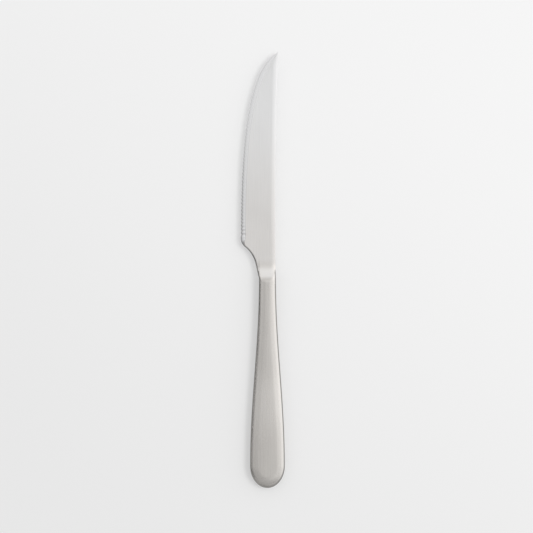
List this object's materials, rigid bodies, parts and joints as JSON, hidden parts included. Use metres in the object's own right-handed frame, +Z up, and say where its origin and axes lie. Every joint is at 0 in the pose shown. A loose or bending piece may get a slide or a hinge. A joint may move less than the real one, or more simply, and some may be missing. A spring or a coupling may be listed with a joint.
{
  "type": "steak knife",
  "caption": "Steak knife with a finely serrated blade, a ramped solid neck and a hollow teardrop handle made of two stamped shells.",
  "frame": {"origin": "middle of the knife's outline seen from above, at the height of the surface that the handle lies on", "axes": "+Y towards the tip, +X towards the spine, +Z up from the surface it lies on"},
  "size_m": [0.0238, 0.235, 0.008],
  "materials": {
    "blade_steel": "fine satin, ground bevel at the edge",
    "handle_steel": "brushed along the handle",
    "braze": "as run",
    "cement": "as cast"
  },
  "bodies": {
    "root": {"blade": "blade_steel", "handle_front_shell": "handle_steel", "handle_back_shell": "handle_steel", "seam_braze": "braze", "mouth_braze": "braze", "tang_cement": "cement"}
  },
  "joints": []
}
